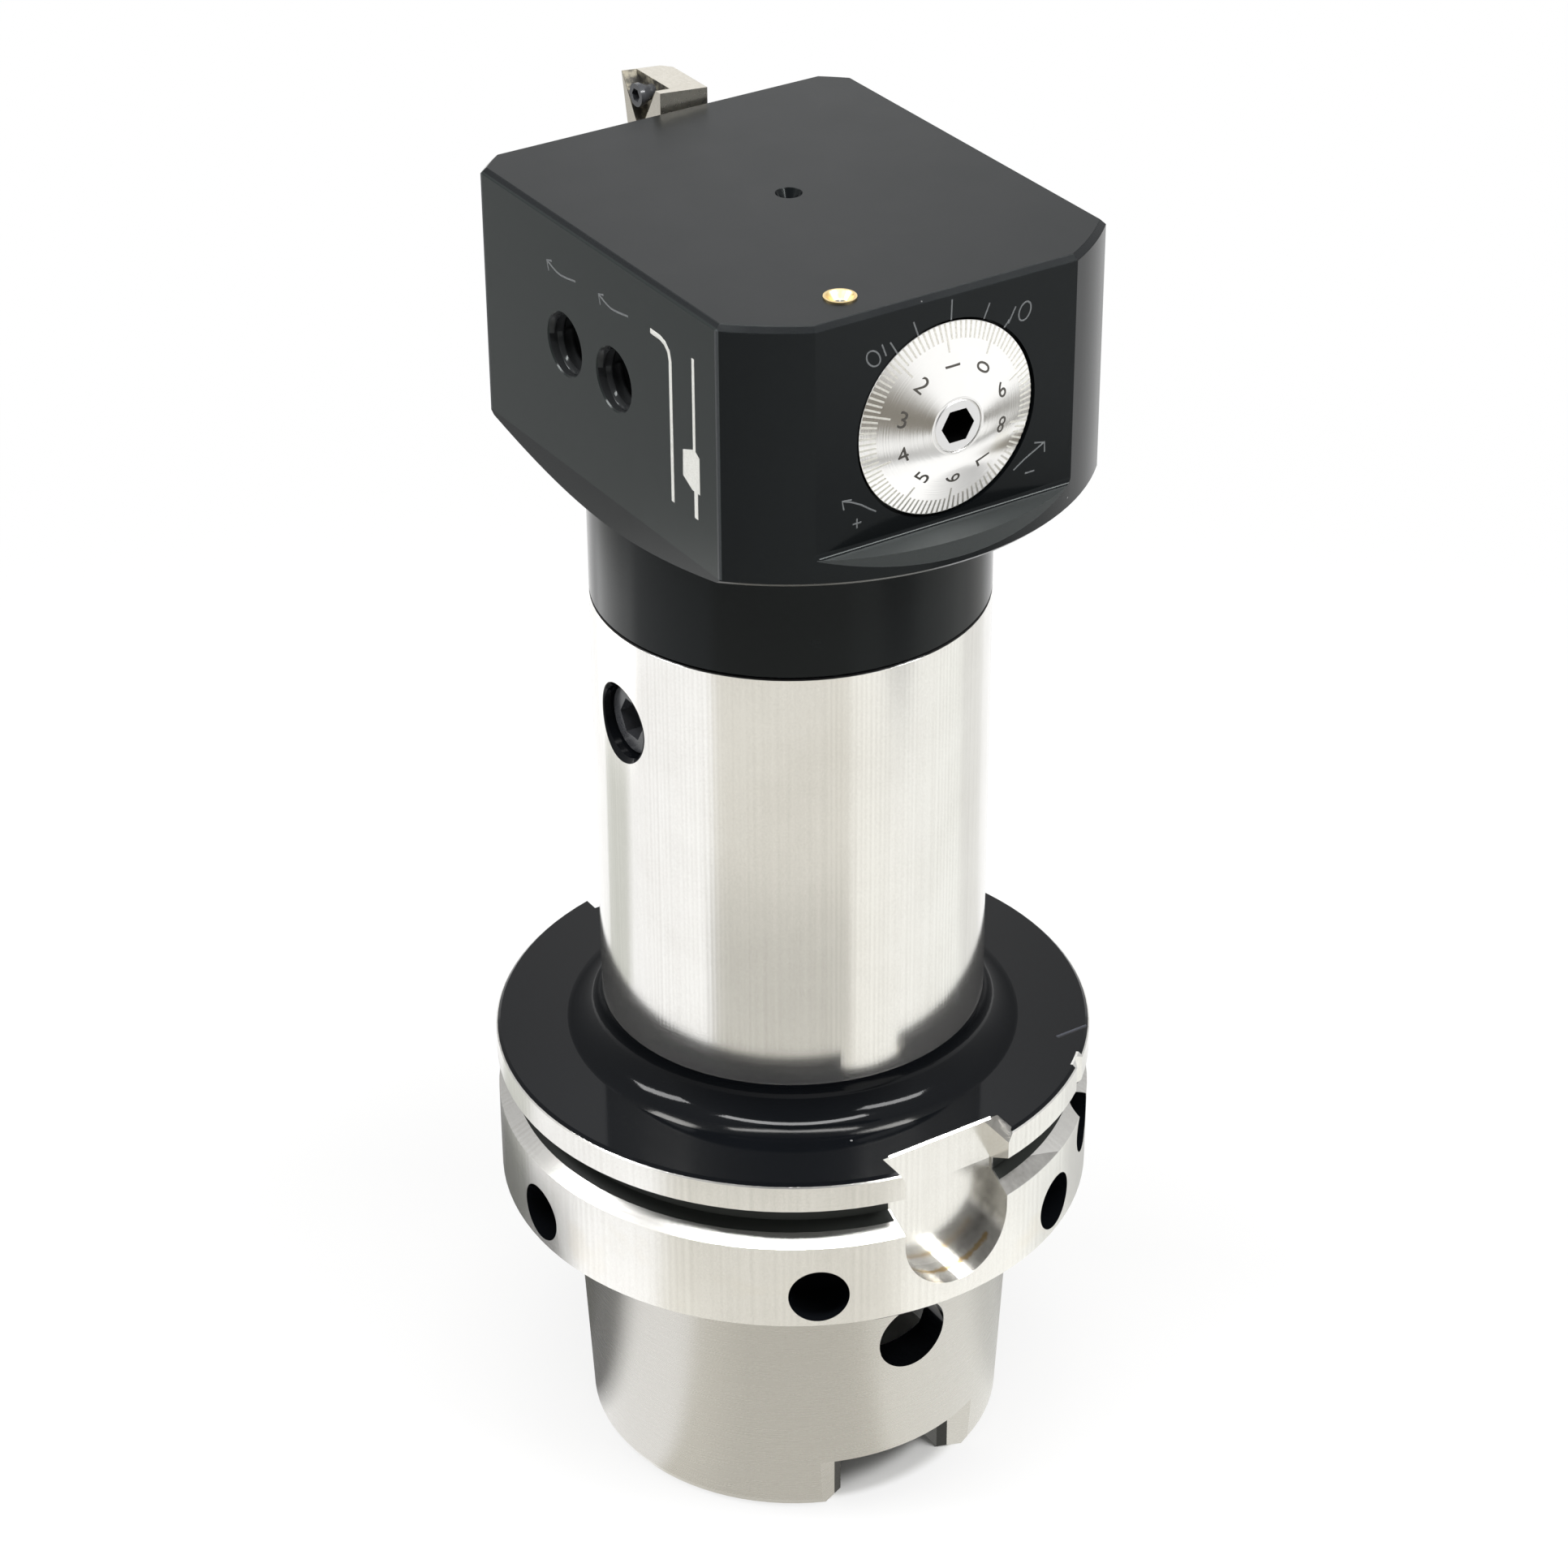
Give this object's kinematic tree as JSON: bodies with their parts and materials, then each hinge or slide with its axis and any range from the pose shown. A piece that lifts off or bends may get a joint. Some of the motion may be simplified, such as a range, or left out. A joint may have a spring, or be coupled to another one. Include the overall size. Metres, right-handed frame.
{
  "type": "boring head",
  "caption": "Finish boring head with scale dial, radial tool carrier and locking screws, on a hollow taper shank holder with a modular coupling.",
  "frame": {"origin": "spindle axis at the gauge face, the flange's lower face that seats on the spindle", "axes": "+Z along the spindle axis to the cutting end, +X to the cutting corner, -X to the scale dial, +Y to the locking screws"},
  "size_m": [0.1, 0.1, 0.2301],
  "materials": {
    "holder_steel": "ground steel shank and column, black-coated flange face",
    "body_black": "black anodised light alloy, satin",
    "screw_black": "black oxide alloy steel",
    "carrier_steel": "ground hardened steel",
    "dial_satin": "satin chrome-plated, dark engraved graduations",
    "spindle_steel": "turned steel",
    "bearing_steel": "polished bearing steel",
    "brass": "turned brass",
    "ball_steel": "polished steel ball",
    "spring_steel": "drawn wire",
    "nickel": "matt nickel-plated steel",
    "seal_rubber": "black nitrile rubber"
  },
  "bodies": {
    "holder_and_head": {"holder_body": "holder_steel", "drive_pin": "carrier_steel", "spigot_o_ring": "seal_rubber", "head_body": "body_black", "guide_key": "screw_black", "carrier_wiper": "seal_rubber", "thrust_washer_inner": "bearing_steel", "thrust_washer_outer": "bearing_steel", "bearing_nut": "spindle_steel", "oiler_body": "brass", "oiler_spring": "spring_steel"},
    "clamp_screw": {"clamp_screw": "screw_black"},
    "dial": {"adjusting_spindle": "spindle_steel", "scale_dial": "dial_satin", "dial_grub_screws": "screw_black"},
    "carrier": {"tool_carrier": "carrier_steel", "insert_holder": "nickel", "holder_screw": "screw_black", "locating_pin": "carrier_steel", "insert_screw": "spindle_steel"},
    "lock_pad_1": {"lock_pad_1": "brass"},
    "lock_pad_2": {"lock_pad_2": "brass"},
    "lock_screw_1": {"lock_screw_1": "screw_black"},
    "lock_screw_2": {"lock_screw_2": "screw_black"},
    "oiler_ball": {"oiler_ball": "ball_steel"}
  },
  "joints": [
    {"name": "dial_turn", "type": "hinge", "parent": "holder_and_head", "child": "dial", "pos_m": [-0.0424, 0, 0.1569], "axis": [1, 0, 0], "range_deg": [0, 18720]},
    {"name": "carrier_slide", "type": "slide", "parent": "holder_and_head", "child": "carrier", "axis": [1, 0, 0], "range_m": [0, 0.026]},
    {"name": "clamp_screw_turn", "type": "hinge", "parent": "holder_and_head", "child": "clamp_screw", "pos_m": [0, 0.0298, 0.095], "axis": [0, 1, 0], "range_deg": [0, 1080]},
    {"name": "lock_pad_1_slide", "type": "slide", "parent": "holder_and_head", "child": "lock_pad_1", "axis": [0, 1, 0], "range_m": [0, 0.0015]},
    {"name": "lock_screw_1_turn", "type": "hinge", "parent": "lock_pad_1", "child": "lock_screw_1", "pos_m": [0.0096, 0.0277, 0.1571], "axis": [0, 1, 0], "range_deg": [0, 360]},
    {"name": "lock_pad_2_slide", "type": "slide", "parent": "holder_and_head", "child": "lock_pad_2", "axis": [0, 1, 0], "range_m": [0, 0.0015]},
    {"name": "lock_screw_2_turn", "type": "hinge", "parent": "lock_pad_2", "child": "lock_screw_2", "pos_m": [-0.0049, 0.0277, 0.1571], "axis": [0, 1, 0], "range_deg": [0, 360]},
    {"name": "oiler_ball_press", "type": "slide", "parent": "holder_and_head", "child": "oiler_ball", "axis": [0, 0, -1], "range_m": [0, 0.0008], "stiffness_N_per_m": 200, "springref_m": -0.002, "deforming": ["oiler_spring"]}
  ],
  "couplings": [
    {"joint": "dial_turn", "follows": "carrier_slide", "rad_per_m": 12566},
    {"joint": "lock_pad_1_slide", "follows": "lock_screw_1_turn", "m_per_rad": 0.0002387},
    {"joint": "lock_pad_2_slide", "follows": "lock_screw_2_turn", "m_per_rad": 0.0002387}
  ]
}
